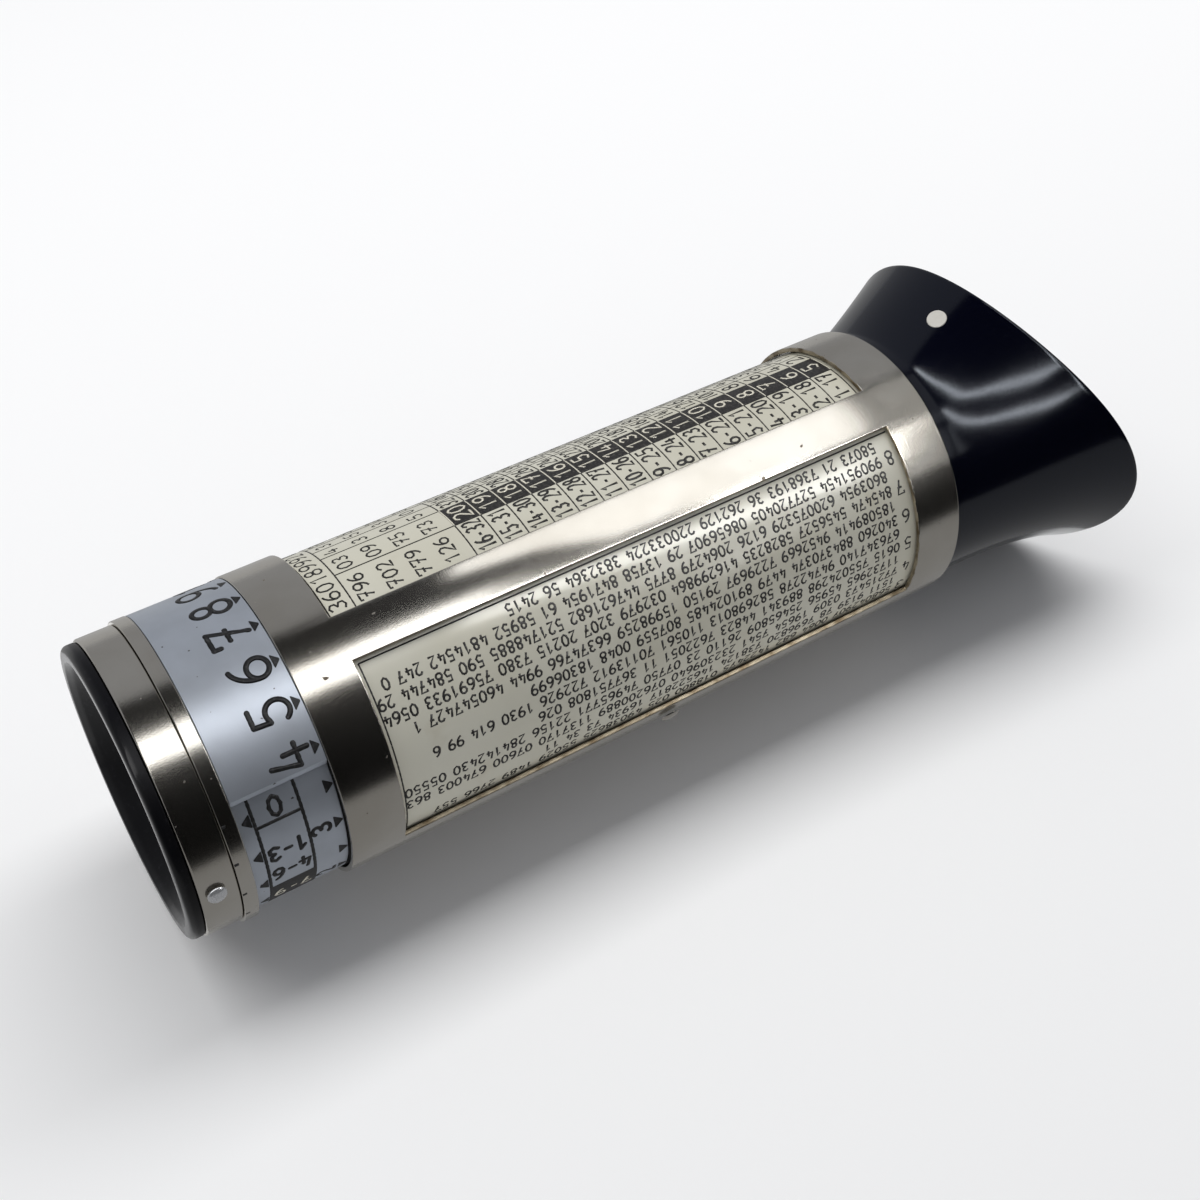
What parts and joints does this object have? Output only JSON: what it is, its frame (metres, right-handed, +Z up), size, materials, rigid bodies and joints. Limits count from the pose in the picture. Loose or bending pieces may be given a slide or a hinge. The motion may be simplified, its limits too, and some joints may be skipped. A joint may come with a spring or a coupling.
{
  "type": "tubular optical exposure meter",
  "caption": "Hand-held tubular exposure meter: nickel tube with printed sheets behind windows, turning scale rings, focusing eyepiece and slanted black eyecup.",
  "frame": {"origin": "under the middle of the bounding box, on the surface the meter lies on", "axes": "+X along the tube from the objective to the eyecup, +Z up with the meter lying on its side as pictured"},
  "size_m": [0.1104, 0.0366, 0.0366],
  "materials": {
    "nickel": "satin nickel plate over brass",
    "scale_silver": "matt, with black filled marks",
    "ivory_sheet": "glossy printed celluloid",
    "black_lacquer": "black lacquer",
    "blackened": "matt black inside finish",
    "bakelite": "polished black moulding",
    "clear_glass": "polished",
    "smoke_glass": "stepped grey",
    "milk_glass": "ground",
    "spring_steel": "bright",
    "pale_inlay": "satin"
  },
  "bodies": {
    "tube": {"inner_tube": "blackened", "body_sleeve": "nickel", "table_sheet": "ivory_sheet", "instruction_sheet": "ivory_sheet", "index_ring": "nickel", "front_bezel": "nickel", "bezel_pin_near": "spring_steel", "bezel_pin_far": "spring_steel", "objective_ring": "black_lacquer", "front_glass": "clear_glass", "spacer_tube": "blackened", "field_stop": "blackened", "grey_wedge": "smoke_glass", "number_plate": "milk_glass", "plate_ring": "blackened", "sleeve_rivet_near": "nickel", "sleeve_rivet_far": "nickel"},
    "speed_dial": {"speed_ring": "scale_silver"},
    "scale_dial": {"scale_sleeve": "scale_silver"},
    "eyepiece": {"draw_tube": "nickel", "friction_spring": "spring_steel", "loupe_lens": "clear_glass", "lens_ring": "blackened", "eyepiece_ring": "blackened"},
    "cup": {"eyecup": "bakelite", "eye_dot": "pale_inlay"}
  },
  "joints": [
    {"name": "speed_ring_turn", "type": "hinge", "parent": "tube", "child": "speed_dial", "pos_m": [-0.04445, -0.0011, 0.0183], "axis": [1, 0, 0], "continuous": true},
    {"name": "scale_sleeve_turn", "type": "hinge", "parent": "speed_dial", "child": "scale_dial", "pos_m": [-0.04445, -0.0011, 0.0183], "axis": [1, 0, 0], "continuous": true},
    {"name": "eyepiece_focus", "type": "slide", "parent": "tube", "child": "eyepiece", "axis": [1, 0, 0], "range_m": [0, 0.005]},
    {"name": "eyecup_turn", "type": "hinge", "parent": "eyepiece", "child": "cup", "pos_m": [0.03208, -0.0011, 0.0183], "axis": [1, 0, 0], "continuous": true}
  ]
}
